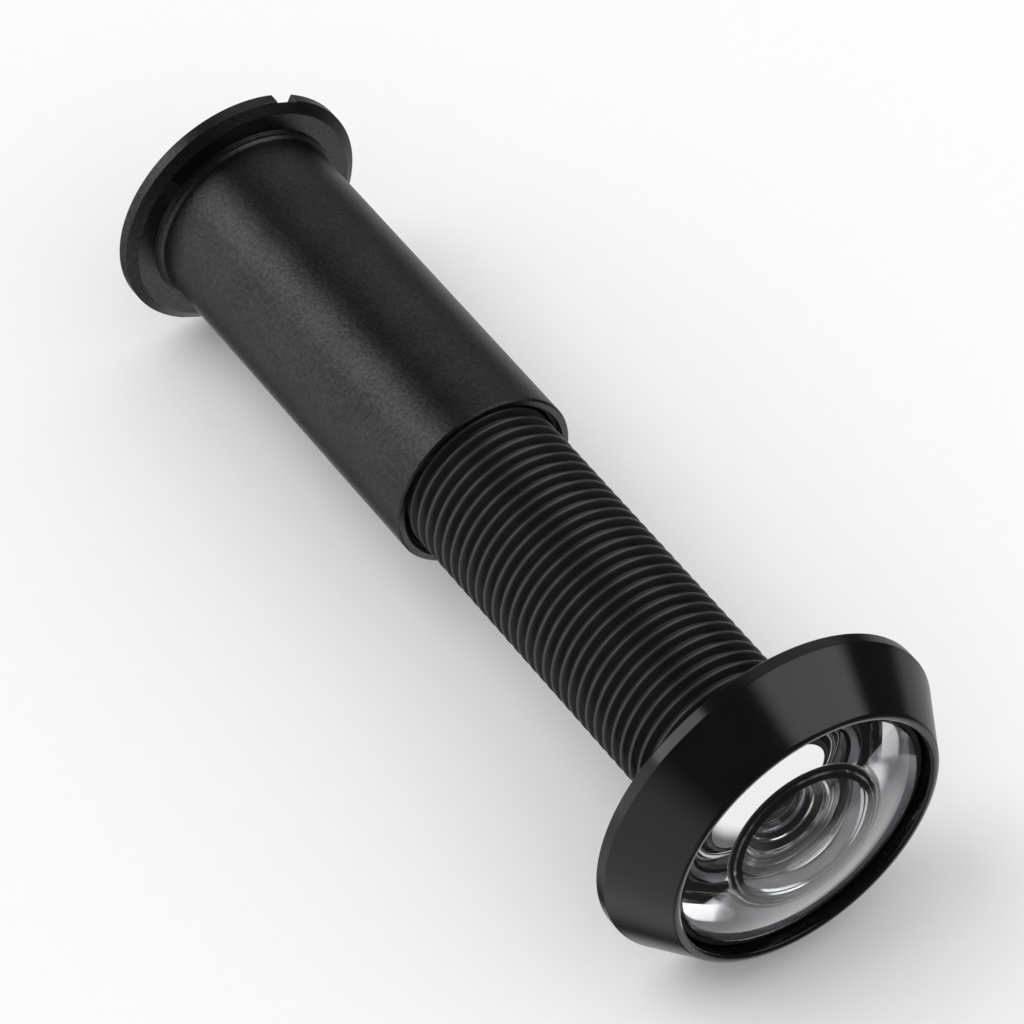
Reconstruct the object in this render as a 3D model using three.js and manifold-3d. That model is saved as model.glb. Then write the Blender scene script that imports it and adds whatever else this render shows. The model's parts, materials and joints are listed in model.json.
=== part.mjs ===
// Door viewer (peephole) with a 14 mm sleeve, in millimetres, +Z up.
// The optical axis is the Y axis. The front, on the outside of the door, faces -Y with the big
// lens; the rear, on the inside, has the eyepiece flange and faces +Y.
// Pieces are drawn with y = 0 on the bezel's back, the face that seats on the door. The whole
// group is then moved so that the origin is the centre of the bounding box.
// In names, _R is a radius from the optical axis and _Y a place along it.
import * as THREE from "three";
import { mergeVertices } from "three/addons/utils/BufferGeometryUtils.js";
import Module from "manifold-3d";

const wasm = await Module();
wasm.setup();

// ---------------------------------------------------------------- driving dimensions
// bezel
const BEZEL_R = 13.0;
const RIM_BACK_CHAMFER = 0.15;
const RIM_FRONT_R = 12.9;
const RIM_FRONT_Y = -1.13;
const LIP_OUTER_R = 10.57;
const LIP_Y = -5.1;
const LIP_CREST_R = 10.26;
const LIP_CREST_HALF_WIDTH = 0.2;
const LIP_CREST_Y = -5.25;
const RECESS_R = 9.92;
const RECESS_FLOOR_Y = -1.95;

// threaded tube
const TUBE_START_Y = -0.5; // inside the bezel
const TUBE_END_Y = 35.2;
const TUBE_END_R = 5.33;
const TUBE_END_TAPER = 0.93;
const TUBE_BORE_R = 4.6;
const TUBE_BORE_CHAMFER = 0.3;
const HUB_R = 6.06;
const HUB_Y = 0.45;
const CELL_SEAT_R = 6.6;
const CELL_SEAT_Y = -1.0;

// thread of the tube (male) and of the sleeve (female)
const PITCH = 1.0;
const MALE_CREST_R = 5.98;
const MALE_ROOT_R = 5.42;
const FEMALE_CREST_R = 5.6;
const FEMALE_ROOT_R = 6.16;
const CREST_HALF_WIDTH = 0.0885 * PITCH; // at the male crest
const FLANK_SLOPE = Math.tan(Math.PI / 6); // half width gained per unit of depth
const FLANK_CLEARANCE = 0.1;
const MALE_THREAD_START_Y = -1.9;
// whole pitches further back, so that the two threads mesh
const FEMALE_THREAD_START_Y = MALE_THREAD_START_Y + 33 * PITCH;
const THREAD_OVERRUN = 0.5;

// front lens
const FRONT_R = 9.3;
const FRONT_EDGE_Y = -4.43;
const FRONT_BACK_Y = -3.1;
const FRONT_BACK_CHAMFER = 0.12;
const FRONT_DOME_RADIUS = 20.0;
const FRONT_DOME_RISE = FRONT_DOME_RADIUS - Math.sqrt(FRONT_DOME_RADIUS ** 2 - FRONT_R ** 2);
const FRONT_APEX_Y = FRONT_EDGE_Y - FRONT_DOME_RISE;
const WELL_R = 4.9;
const WELL_CHAMFER_R = 5.3;
const WELL_RIM_Y = -3.35;
const WELL_APEX_Y = -5.2;

// gaps between pieces
const RADIAL_GAP = 0.06;
const SEAT_GAP = 0.03;
const LENS_EDGE_GAP = 0.05;
const RECESS_STACK_Y = RECESS_FLOOR_Y - SEAT_GAP; // back of the rings in the bezel recess
const TUBE_INSERT_R = TUBE_BORE_R - RADIAL_GAP;

// retaining ring in the tube
const RETAINER_REAR_Y = 11.0;

// sleeve
const SLEEVE_R = 7.0;
const SLEEVE_EDGE_CHAMFER = 0.14;
const MOUTH_Y = 32.2;
const MOUTH_BORE_R = 6.32;
const MOUTH_CHAMFER = 0.15;
const FEMALE_END_Y = 38.2;
const RELIEF_R = 6.2;
const FLANGE_R = 9.5;
const FLANGE_FACE_R = 8.75;
const FLANGE_SEAT_Y = 62.95;
const FLANGE_REAR_Y = 64.4;
const FLANGE_CHAMFER = 0.15;
const COLLAR_R = 7.35;
const EYE_OPENING_R = 4.9;
const EYE_OPENING_CHAMFER = 0.55;
const EYE_LENS_BORE_R = 5.8;
const EYE_SHOULDER_Y = 62.8;
const SLOT_ANGLE = 26.8; // degrees about +Y from +Z

// facets
const ROUND_STEPS = 48; // one turn of the big turned faces
const FINE_STEPS = 32; // one turn of the small ones
const THREAD_STEPS = 16; // one turn of thread

const CUT_OVERRUN = 1; // how far a cutter runs past the piece

// ---------------------------------------------------------------- solids and meshes
// A closed surface as a solid, turned right side out.
function solid(geometry) {
  geometry.deleteAttribute("normal");
  geometry.deleteAttribute("uv");
  const merged = mergeVertices(geometry, 1e-5);
  const index = merged.index.array;
  const triangles = [];
  // triangles collapse where an outline touches the axis
  for (let i = 0; i < index.length; i += 3) {
    const [a, b, c] = index.slice(i, i + 3);
    if (a !== b && b !== c && c !== a) triangles.push(a, b, c);
  }
  const build = () =>
    new wasm.Manifold(
      new wasm.Mesh({
        numProp: 3,
        vertProperties: new Float32Array(merged.attributes.position.array),
        triVerts: new Uint32Array(triangles),
      }),
    );
  const made = build();
  if (made.volume() >= 0) return made;
  for (let i = 0; i < triangles.length; i += 3) {
    [triangles[i + 1], triangles[i + 2]] = [triangles[i + 2], triangles[i + 1]];
  }
  return build();
}

function geometryOf(manifold) {
  const mesh = manifold.getMesh();
  const geometry = new THREE.BufferGeometry();
  geometry.setAttribute("position", new THREE.BufferAttribute(mesh.vertProperties.slice(), 3));
  geometry.setIndex(new THREE.BufferAttribute(mesh.triVerts.slice(), 1));
  geometry.computeVertexNormals();
  return geometry;
}

// A piece turned about the Y axis from the [radius, y] points of its outline.
// An outline that starts and ends on the axis stays open there; any other is closed.
function turned(points, steps = FINE_STEPS) {
  const outline = points.map(([radius, y]) => new THREE.Vector2(radius, y));
  const first = outline[0];
  if (first.x > 1e-9 || outline.at(-1).x > 1e-9) outline.push(first.clone());
  return solid(new THREE.LatheGeometry(outline, steps));
}

// [radius, y] points of a circular arc, from apexY on the axis out to edgeY at edgeR.
function arc(edgeR, edgeY, apexY, segments) {
  const sag = Math.abs(edgeY - apexY);
  const radius = (edgeR * edgeR + sag * sag) / (2 * sag);
  const side = Math.sign(edgeY - apexY);
  const sweep = Math.asin(edgeR / radius);
  const points = [];
  for (let i = 0; i <= segments; i++) {
    const angle = (sweep * i) / segments;
    points.push([radius * Math.sin(angle), apexY + side * radius * (1 - Math.cos(angle))]);
  }
  return points;
}

// A cutter for a slot across a ring, sunk from the ring's rear face and lying along Z.
function slotCutter({ width, depth, length, rearY, overrun }) {
  const height = depth + overrun;
  return new THREE.BoxGeometry(width, height, length).translate(0, rearY - depth + height / 2, 0);
}

// ---------------------------------------------------------------- thread
const ridgeHalfWidth = (radius) => CREST_HALF_WIDTH + (MALE_CREST_R - radius) * FLANK_SLOPE;

// A rod with a right-hand helical ridge, from startY to beyond endY.
// The clearance widens the ridge on each flank.
function threadedRod({ rootR, crestR, clearance, startY, endY }) {
  const turns = Math.ceil((endY - startY) / PITCH) + 2;
  const halfRoot = ridgeHalfWidth(rootR) + clearance;
  const halfCrest = ridgeHalfWidth(crestR) + clearance;
  // [y within one pitch, radius]; the ridge is centred on half a pitch
  const section = [
    [0.5 * PITCH - halfRoot, rootR],
    [0.5 * PITCH - halfCrest, crestR],
    [0.5 * PITCH + halfCrest, crestR],
    [0.5 * PITCH + halfRoot, rootR],
  ];
  const perTurn = section.length;
  const rows = perTurn * turns + 1;
  const vertexAt = (step, row) => step * rows + row;

  const positions = [];
  for (let step = 0; step < THREAD_STEPS; step++) {
    const angle = (2 * Math.PI * step) / THREAD_STEPS;
    const lead = (PITCH * step) / THREAD_STEPS;
    for (let row = 0; row < rows; row++) {
      const [offset, radius] = section[row % perTurn];
      const y = startY + Math.floor(row / perTurn) * PITCH + offset + lead;
      // right-hand about +Y: y grows as the angle from +Z to +X grows
      positions.push(radius * Math.sin(angle), y, radius * Math.cos(angle));
    }
  }
  const frontCentre = positions.length / 3;
  const rearCentre = frontCentre + 1;
  positions.push(0, startY, 0);
  positions.push(0, startY + (turns + 1) * PITCH, 0);

  const triangles = [];
  for (let step = 0; step < THREAD_STEPS; step++) {
    // at the seam each row joins the row one pitch further on
    const seam = step === THREAD_STEPS - 1;
    const next = seam ? 0 : step + 1;
    const shift = seam ? perTurn : 0;
    for (let row = 0; row < rows - 1 - shift; row++) {
      const a = vertexAt(step, row);
      const b = vertexAt(next, row + shift);
      const c = vertexAt(next, row + 1 + shift);
      const d = vertexAt(step, row + 1);
      triangles.push(a, b, c, a, c, d);
    }
  }

  // each end is a fan to the axis, along the end row and over the step at the seam
  const frontEdge = [];
  for (let row = perTurn; row > 0; row--) frontEdge.push(vertexAt(0, row));
  for (let step = 0; step < THREAD_STEPS; step++) frontEdge.push(vertexAt(step, 0));
  frontEdge.forEach((vertex, i) => {
    triangles.push(frontCentre, frontEdge[(i + 1) % frontEdge.length], vertex);
  });
  const rearEdge = [];
  for (let step = 0; step < THREAD_STEPS; step++) rearEdge.push(vertexAt(step, rows - 1));
  for (let row = rows - 2; row >= rows - 1 - perTurn; row--) {
    rearEdge.push(vertexAt(THREAD_STEPS - 1, row));
  }
  rearEdge.forEach((vertex, i) => {
    triangles.push(rearCentre, vertex, rearEdge[(i + 1) % rearEdge.length]);
  });

  const geometry = new THREE.BufferGeometry();
  geometry.setAttribute("position", new THREE.BufferAttribute(new Float32Array(positions), 3));
  geometry.setIndex(triangles);
  return solid(geometry);
}

// ---------------------------------------------------------------- materials
const GLOSS_BLACK = { name: "gloss_black", color: 0x101012, roughness: 0.22, metalness: 0.6 };
const SATIN_BLACK = { name: "satin_black", color: 0x17171a, roughness: 0.48, metalness: 0.5 };
const SEAT_SILVER = { name: "seat_silver", color: 0xc8c9cd, roughness: 0.18, metalness: 1.0 };
const CELL_SILVER = { name: "cell_silver", color: 0x9a9ba2, roughness: 0.3, metalness: 1.0 };
const SOFT_BLACK = { name: "soft_black", color: 0x0c0c0d, roughness: 0.85, metalness: 0.0 };
const INSIDE_BLACK = { name: "inside_black", color: 0x141416, roughness: 0.7, metalness: 0.2 };
const GLASS = { roughness: 0.03, metalness: 0.0, transparent: true };
const CLEAR_GLASS = { ...GLASS, name: "clear_glass", color: 0xe9eef2, opacity: 0.35 };
const COATED_GLASS = { ...GLASS, name: "coated_glass", color: 0xb9b2cf, opacity: 0.45 };

// ---------------------------------------------------------------- objective side, front to rear
// All outlines below are [radius, y] points.
function bezelBlank() {
  const outline = [
    [0, LIP_CREST_Y],
    [LIP_CREST_R, LIP_CREST_Y],
    [LIP_CREST_R + LIP_CREST_HALF_WIDTH, LIP_CREST_Y + 0.04],
    [LIP_OUTER_R, LIP_Y],
    [RIM_FRONT_R, RIM_FRONT_Y],
    [BEZEL_R, RIM_FRONT_Y + 0.14],
    [BEZEL_R, -RIM_BACK_CHAMFER],
    [BEZEL_R - RIM_BACK_CHAMFER, 0],
    [HUB_R, 0],
    [HUB_R - 0.05, HUB_Y],
    [0, HUB_Y],
  ];
  return turned(outline, ROUND_STEPS);
}

// The threaded tube before boring, tapered at its rear end.
function tubeBlank() {
  const rod = threadedRod({
    rootR: MALE_ROOT_R,
    crestR: MALE_CREST_R,
    clearance: 0,
    startY: MALE_THREAD_START_Y,
    endY: TUBE_END_Y + THREAD_OVERRUN,
  });
  const envelopeR = 7.2;
  const envelope = turned([
    [0, TUBE_START_Y],
    [envelopeR, TUBE_START_Y],
    [envelopeR, TUBE_END_Y - TUBE_END_TAPER],
    [TUBE_END_R, TUBE_END_Y],
    [0, TUBE_END_Y],
  ]);
  return rod.intersect(envelope);
}

// Everything hollow in the barrel: lens recess, cell seat and tube bore.
function barrelCavity() {
  const lipInnerR = LIP_CREST_R - LIP_CREST_HALF_WIDTH;
  const outline = [
    [0, LIP_CREST_Y - CUT_OVERRUN],
    [lipInnerR, LIP_CREST_Y - CUT_OVERRUN],
    [lipInnerR, LIP_CREST_Y + 0.03],
    [RECESS_R, LIP_Y],
    [RECESS_R, RECESS_FLOOR_Y],
    [CELL_SEAT_R, RECESS_FLOOR_Y],
    [CELL_SEAT_R, CELL_SEAT_Y],
    [TUBE_BORE_R, CELL_SEAT_Y],
    [TUBE_BORE_R, TUBE_END_Y - TUBE_BORE_CHAMFER],
    [TUBE_BORE_R + TUBE_BORE_CHAMFER, TUBE_END_Y],
    [TUBE_BORE_R + TUBE_BORE_CHAMFER, TUBE_END_Y + CUT_OVERRUN],
    [0, TUBE_END_Y + CUT_OVERRUN],
  ];
  return turned(outline, ROUND_STEPS);
}

const objectiveBarrel = () => tubeBlank().add(bezelBlank()).subtract(barrelCavity());

// Domed in front, with a round well in its back.
function frontLens() {
  const outline = [
    ...arc(FRONT_R, FRONT_EDGE_Y, FRONT_APEX_Y, 6),
    [FRONT_R, FRONT_BACK_Y - FRONT_BACK_CHAMFER],
    [FRONT_R - FRONT_BACK_CHAMFER, FRONT_BACK_Y],
    [WELL_CHAMFER_R, FRONT_BACK_Y],
    ...arc(WELL_R, WELL_RIM_Y, WELL_APEX_Y, 5).reverse(),
  ];
  return turned(outline, ROUND_STEPS);
}

function frontLensGasket() {
  const innerR = FRONT_R + LENS_EDGE_GAP;
  const outerR = RECESS_R - RADIAL_GAP;
  const frontY = -4.28;
  const outline = [
    [innerR, -4.1],
    [innerR + 0.15, frontY],
    [outerR - 0.1, frontY],
    [outerR, -4.16],
    [outerR, RECESS_STACK_Y],
    [innerR, RECESS_STACK_Y],
  ];
  return turned(outline, ROUND_STEPS);
}

function lensSeatRing() {
  const innerR = WELL_CHAMFER_R + 0.12;
  const outerR = FRONT_R - LENS_EDGE_GAP;
  const frontY = FRONT_BACK_Y + 0.04;
  const chamfer = 0.1;
  const outline = [
    [innerR, frontY + chamfer],
    [innerR + chamfer, frontY],
    [outerR, frontY],
    [outerR, RECESS_STACK_Y],
    [innerR, RECESS_STACK_Y],
  ];
  return turned(outline, ROUND_STEPS);
}

function secondLensCell() {
  const shoulderR = CELL_SEAT_R - RADIAL_GAP;
  const shoulderFrontY = RECESS_FLOOR_Y + 0.04;
  const shoulderRearY = CELL_SEAT_Y - SEAT_GAP;
  return turned([
    [4.88, -2.98], [5.26, -2.98], [5.34, -2.9],
    [5.34, shoulderFrontY],
    [shoulderR, shoulderFrontY],
    [shoulderR, shoulderRearY],
    [TUBE_INSERT_R, shoulderRearY],
    [TUBE_INSERT_R, 2.2],
    [3.56, 2.2], [3.56, 0.2], [2.66, -0.16], [2.62, -0.46], [2.72, -0.56],
    [3.45, -1.1], [3.55, -1.42], [3.72, -1.5], [4.38, -2.1], [4.46, -2.45],
  ]);
}

const secondLens = () =>
  turned([
    ...arc(3.5, 0.25, -0.459, 3),
    [3.5, 1.35], [2.6, 1.35],
    ...arc(2.5, 1.33, 0.254, 3).reverse(),
  ]);

const lensSpacer = () =>
  turned([
    [2.75, 1.4], [3.5, 1.4], [3.5, 2.26],
    [TUBE_INSERT_R, 2.26], [TUBE_INSERT_R, 6.0],
    [3.9, 6.0], [3.6, 5.2], [3.3, 2.7], [2.85, 2.1],
  ]);

const thirdLens = () =>
  turned([
    ...arc(3.9, 6.05, 6.7, 3),
    [4.5, 6.05], [4.5, 8.5],
    ...arc(3.9, 8.5, 7.45, 3).reverse(),
  ]);

const apertureStop = () =>
  turned([
    [3.0, 8.7], [3.15, 8.56], [4.52, 8.56],
    [4.52, 8.96], [3.15, 8.96], [3.0, 8.82],
  ]);

function objectiveRetainingRing() {
  const ring = turned([
    [3.6, 9.02],
    [TUBE_INSERT_R, 9.02],
    [TUBE_INSERT_R, RETAINER_REAR_Y],
    [3.9, RETAINER_REAR_Y],
    [3.6, RETAINER_REAR_Y - 0.4],
  ]);
  const slot = slotCutter({
    width: 1.2,
    depth: 0.8,
    length: 12,
    rearY: RETAINER_REAR_Y,
    overrun: 0.1,
  });
  return ring.subtract(solid(slot));
}

// ---------------------------------------------------------------- eyepiece side
function sleeveBlank() {
  const outline = [
    [0, MOUTH_Y],
    [SLEEVE_R - SLEEVE_EDGE_CHAMFER, MOUTH_Y],
    [SLEEVE_R, MOUTH_Y + SLEEVE_EDGE_CHAMFER],
    [SLEEVE_R, FLANGE_SEAT_Y - 0.6],
    [SLEEVE_R + 0.12, FLANGE_SEAT_Y - 0.36],
    [COLLAR_R - 0.04, FLANGE_SEAT_Y - 0.26],
    [COLLAR_R, FLANGE_SEAT_Y],
    [FLANGE_FACE_R, FLANGE_SEAT_Y],
    [FLANGE_R, FLANGE_SEAT_Y + 0.5],
    [FLANGE_R, FLANGE_REAR_Y - FLANGE_CHAMFER],
    [FLANGE_R - FLANGE_CHAMFER, FLANGE_REAR_Y],
    [0, FLANGE_REAR_Y],
  ];
  return turned(outline, ROUND_STEPS);
}

const sleeveBore = () =>
  turned([
    [0, MOUTH_Y - CUT_OVERRUN],
    [MOUTH_BORE_R + MOUTH_CHAMFER, MOUTH_Y - CUT_OVERRUN],
    [MOUTH_BORE_R + MOUTH_CHAMFER, MOUTH_Y],
    [MOUTH_BORE_R, MOUTH_Y + MOUTH_CHAMFER],
    [MOUTH_BORE_R, MOUTH_Y + 0.45],
    [FEMALE_CREST_R, MOUTH_Y + 0.85],
    [FEMALE_CREST_R, FEMALE_END_Y],
    [RELIEF_R, FEMALE_END_Y + 0.4],
    [RELIEF_R, 60.3],
    [EYE_LENS_BORE_R, 60.4],
    [EYE_LENS_BORE_R, EYE_SHOULDER_Y],
    [EYE_OPENING_R, EYE_SHOULDER_Y],
    [EYE_OPENING_R, FLANGE_REAR_Y - EYE_OPENING_CHAMFER],
    [EYE_OPENING_R + EYE_OPENING_CHAMFER, FLANGE_REAR_Y],
    [EYE_OPENING_R + EYE_OPENING_CHAMFER, FLANGE_REAR_Y + CUT_OVERRUN],
    [0, FLANGE_REAR_Y + CUT_OVERRUN],
  ]);

function sleeveThreadCutter() {
  const rod = threadedRod({
    rootR: FEMALE_CREST_R,
    crestR: FEMALE_ROOT_R,
    clearance: FLANK_CLEARANCE,
    startY: FEMALE_THREAD_START_Y,
    endY: FEMALE_END_Y + THREAD_OVERRUN,
  });
  const envelopeR = 9;
  const frontY = MOUTH_Y + 0.3;
  const rearY = FEMALE_END_Y + 0.2;
  return rod.intersect(turned([[0, frontY], [envelopeR, frontY], [envelopeR, rearY], [0, rearY]]));
}

function eyepieceSleeve() {
  const slot = slotCutter({
    width: 1.8,
    depth: 1.0,
    length: 2 * FLANGE_R + 4,
    rearY: FLANGE_REAR_Y,
    overrun: CUT_OVERRUN,
  }).rotateY((SLOT_ANGLE * Math.PI) / 180);
  return sleeveBlank()
    .subtract(sleeveBore())
    .subtract(sleeveThreadCutter())
    .subtract(solid(slot));
}

function eyepieceRetainingRing() {
  const outerR = EYE_LENS_BORE_R - RADIAL_GAP;
  return turned([
    [4.95, 60.6], [5.1, 60.45], [outerR, 60.45],
    [outerR, 61.24], [5.2, 61.24], [4.95, 61.05],
  ]);
}

const eyepieceLens = () =>
  turned([
    ...arc(5.3, 61.3, 61.02, 3),
    [5.7, 61.3], [5.7, 62.4],
    ...arc(5.0, 62.4, 62.78, 3).reverse(),
  ]);

function eyepieceCushionRing() {
  const outerR = EYE_LENS_BORE_R - 0.08;
  return turned([[5.08, 62.45], [outerR, 62.45], [outerR, 62.76], [5.08, 62.76]]);
}

// ---------------------------------------------------------------- assembly
function add(parent, name, body, finish) {
  const mesh = new THREE.Mesh(geometryOf(body), new THREE.MeshStandardMaterial(finish));
  mesh.name = name;
  parent.add(mesh);
}

const viewer = new THREE.Group();
add(viewer, "objective_barrel", objectiveBarrel(), GLOSS_BLACK);
add(viewer, "front_lens", frontLens(), CLEAR_GLASS);
add(viewer, "front_lens_gasket", frontLensGasket(), SOFT_BLACK);
add(viewer, "lens_seat_ring", lensSeatRing(), SEAT_SILVER);
add(viewer, "second_lens_cell", secondLensCell(), CELL_SILVER);
add(viewer, "second_lens", secondLens(), COATED_GLASS);
add(viewer, "lens_spacer", lensSpacer(), INSIDE_BLACK);
add(viewer, "third_lens", thirdLens(), CLEAR_GLASS);
add(viewer, "aperture_stop", apertureStop(), INSIDE_BLACK);
add(viewer, "objective_retaining_ring", objectiveRetainingRing(), INSIDE_BLACK);

const eyepiece = new THREE.Group();
viewer.add(eyepiece);
add(eyepiece, "eyepiece_sleeve", eyepieceSleeve(), SATIN_BLACK);
add(eyepiece, "eyepiece_retaining_ring", eyepieceRetainingRing(), INSIDE_BLACK);
add(eyepiece, "eyepiece_lens", eyepieceLens(), CLEAR_GLASS);
add(eyepiece, "eyepiece_cushion_ring", eyepieceCushionRing(), SOFT_BLACK);

// origin at the centre of the bounding box
viewer.position.y = -(FRONT_APEX_Y + FLANGE_REAR_Y) / 2;

export default viewer;
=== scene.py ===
# A viewer in two threaded parts: an objective barrel with a wide bezel and its lenses, and an
# eyepiece sleeve that takes the barrel's threaded end. The optical axis is +Y, with the bezel
# at the -Y end. The viewer lies on the rims of its bezel and its flange.
import json
import math

import bmesh
import bpy
from mathutils import Matrix, Vector


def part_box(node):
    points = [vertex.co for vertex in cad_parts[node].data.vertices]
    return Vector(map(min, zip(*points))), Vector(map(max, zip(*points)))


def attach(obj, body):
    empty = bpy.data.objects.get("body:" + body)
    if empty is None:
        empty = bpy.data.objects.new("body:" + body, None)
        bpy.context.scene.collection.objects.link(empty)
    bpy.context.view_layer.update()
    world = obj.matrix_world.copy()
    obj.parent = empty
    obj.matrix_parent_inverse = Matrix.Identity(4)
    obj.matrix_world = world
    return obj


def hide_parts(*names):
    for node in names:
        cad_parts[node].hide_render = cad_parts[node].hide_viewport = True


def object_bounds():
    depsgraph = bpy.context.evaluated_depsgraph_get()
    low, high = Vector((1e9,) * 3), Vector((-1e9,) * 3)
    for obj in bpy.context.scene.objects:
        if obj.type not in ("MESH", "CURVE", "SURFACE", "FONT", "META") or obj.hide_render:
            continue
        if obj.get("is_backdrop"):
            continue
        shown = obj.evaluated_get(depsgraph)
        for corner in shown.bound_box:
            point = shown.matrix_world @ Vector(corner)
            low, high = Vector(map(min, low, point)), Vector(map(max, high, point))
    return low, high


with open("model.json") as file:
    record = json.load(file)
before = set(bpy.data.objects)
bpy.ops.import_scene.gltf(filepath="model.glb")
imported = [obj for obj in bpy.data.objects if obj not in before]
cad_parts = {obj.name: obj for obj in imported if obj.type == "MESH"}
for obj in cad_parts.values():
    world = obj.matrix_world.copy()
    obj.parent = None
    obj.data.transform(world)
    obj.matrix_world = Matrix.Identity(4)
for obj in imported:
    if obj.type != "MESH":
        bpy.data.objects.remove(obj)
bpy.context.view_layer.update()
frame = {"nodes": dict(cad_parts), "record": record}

# ------------------------------------------------------------------ shared frame
# Profiles are (radius, y) in millimetres, with y = 0 on the bezel's back (+Y) face.
MM = 0.001
MM_PER_M = 1000.0
FLANGE_REAR = 64.4   # +Y face of the sleeve's flange
FLANGE_RIM_Y = 63.45  # -Y edge of the flange's rim
BEZEL_RIM_Y = -0.15  # +Y edge of the bezel's rim
FRAME_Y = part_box("eyepiece_sleeve")[1].y * MM_PER_M - FLANGE_REAR  # scene y of profile y = 0

CORNER = 0.03        # default radius of a profile corner
FACETS = 128         # facets round the small pieces
FINE_FACETS = 144    # facets round the large and threaded pieces
# angles in degrees above which an edge is shaded sharp
SHARP = 34.0
BARREL_SHARP = 38.0
CUT_SHARP = 30.0


# ------------------------------------------------------------------ profiles
def arc(rim_radius, rim_y, apex_y, count):
    """Points of a spherical cap, from the axis out to its rim, with no corner rounding."""
    sag = abs(rim_y - apex_y)
    sphere = (rim_radius * rim_radius + sag * sag) / (2.0 * sag)
    side = 1.0 if rim_y > apex_y else -1.0
    spread = math.asin(min(1.0, rim_radius / sphere))
    points = [(0.0, apex_y, 0.0)]
    for i in range(1, count + 1):
        angle = spread * i / count
        points.append((sphere * math.sin(angle),
                       apex_y + side * sphere * (1.0 - math.cos(angle)), 0.0))
    return points


def round_corner(before, point, after, bend):
    """Points that round one corner, or the corner alone where it is nearly straight."""
    corner = Vector(point)
    back = Vector(before) - corner
    ahead = Vector(after) - corner
    back_length, ahead_length = back.length, ahead.length
    if back_length < 1e-6 or ahead_length < 1e-6:
        return [point]
    back, ahead = back / back_length, ahead / ahead_length
    angle = math.acos(max(-1.0, min(1.0, back.dot(ahead))))
    if angle > math.radians(176):
        return [point]
    trim = min(bend / math.tan(angle / 2), 0.45 * back_length, 0.45 * ahead_length)
    bend = trim * math.tan(angle / 2)
    centre = corner + (back + ahead).normalized() * (bend / math.sin(angle / 2))
    start = corner + back * trim - centre
    end = corner + ahead * trim - centre
    turn = math.pi - angle
    steps = max(2, int(math.ceil(math.degrees(turn) / 18.0)))
    sign = 1.0 if start.x * end.y - start.y * end.x > 0 else -1.0
    points = []
    for k in range(steps + 1):
        swing = sign * turn * k / steps
        cos, sin = math.cos(swing), math.sin(swing)
        points.append((centre.x + start.x * cos - start.y * sin,
                       centre.y + start.x * sin + start.y * cos))
    return points


def rounded(points, closed):
    """Rounds the corners of a profile. A point is (radius, y) or (radius, y, corner radius)."""
    count = len(points)
    outline = []
    for i, point in enumerate(points):
        here = point[:2]
        bend = point[2] if len(point) > 2 else CORNER
        is_end = not closed and i in (0, count - 1)
        if bend <= 0 or is_end or here[0] < 1e-9:
            outline.append(here)
        else:
            outline += round_corner(points[i - 1][:2], here, points[(i + 1) % count][:2], bend)
    # a loop of vertices close to each corner keeps the flat faces flat under smooth shading
    full = []
    count = len(outline)
    for i in range(count if closed else count - 1):
        start, end = Vector(outline[i]), Vector(outline[(i + 1) % count])
        full.append(tuple(start))
        length = (end - start).length
        if length > 0.25:
            inset = min(0.04, length * 0.2)
            full.append(tuple(start + (end - start) * (inset / length)))
            full.append(tuple(end - (end - start) * (inset / length)))
    if not closed:
        full.append(outline[-1])
    return full


# ------------------------------------------------------------------ meshes
def place(radius, turn, y):
    """Radius, share of a turn (from +Z toward +X) and y in mm, as a point of the scene."""
    angle = 2.0 * math.pi * turn
    return (radius * math.sin(angle) * MM, (y + FRAME_Y) * MM, radius * math.cos(angle) * MM)


def turned_strip(points, facets, closed):
    """The surface swept by a rounded profile turned about the axis."""
    profile = rounded(points, closed)
    count = len(profile)
    verts, faces = [], []
    for j in range(facets):
        verts += [place(radius, j / facets, y) for radius, y in profile]
    for j in range(facets):
        here, there = j * count, ((j + 1) % facets) * count
        for i in range(count if closed else count - 1):
            k = (i + 1) % count
            faces.append((here + i, there + i, there + k, here + k))
    return verts, faces


# Rows of one thread turn, as shares of the pitch from the crest
THREAD_ROWS = (-0.5, -0.45, -0.41, -0.365, -0.30, -0.22, -0.14, -0.095, -0.05,
               0.0, 0.05, 0.095, 0.14, 0.22, 0.30, 0.365, 0.41, 0.45)
PITCH = 1.0
PHASE = -1.4  # a thread crest crosses the +Z direction at this y


def thread_strip(radius_at, low_y, high_y):
    """A surface whose rows follow the helix, cut off square at both ends."""
    first = int(math.floor((low_y - PHASE) / PITCH)) - 2
    last = int(math.ceil((high_y - PHASE) / PITCH)) + 2
    row_ys = [PHASE + k * PITCH + share * PITCH
              for k in range(first, last + 1) for share in THREAD_ROWS]
    rows = len(row_ys)
    verts, faces = [], []
    for j in range(FINE_FACETS):
        turn = j / FINE_FACETS
        for row_y in row_ys:
            y = min(max(row_y + turn * PITCH, low_y), high_y)
            share = ((y - PHASE) / PITCH - turn + 0.5) % 1.0 - 0.5
            verts.append(place(radius_at(abs(share) * PITCH, y), turn, y))
    for j in range(FINE_FACETS):
        # the last column joins the first one turn further along the helix
        seam = j == FINE_FACETS - 1
        here = j * rows
        there = len(THREAD_ROWS) if seam else (j + 1) * rows
        for i in range(rows - 1 - (len(THREAD_ROWS) if seam else 0)):
            faces.append((here + i, there + i, there + i + 1, here + i + 1))
    return verts, faces


def link_mesh(name, bm):
    """Turns a bmesh into a linked object and frees it."""
    mesh = bpy.data.meshes.new(name)
    bm.to_mesh(mesh)
    bm.free()
    obj = bpy.data.objects.new(name, mesh)
    bpy.context.scene.collection.objects.link(obj)
    return obj


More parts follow.
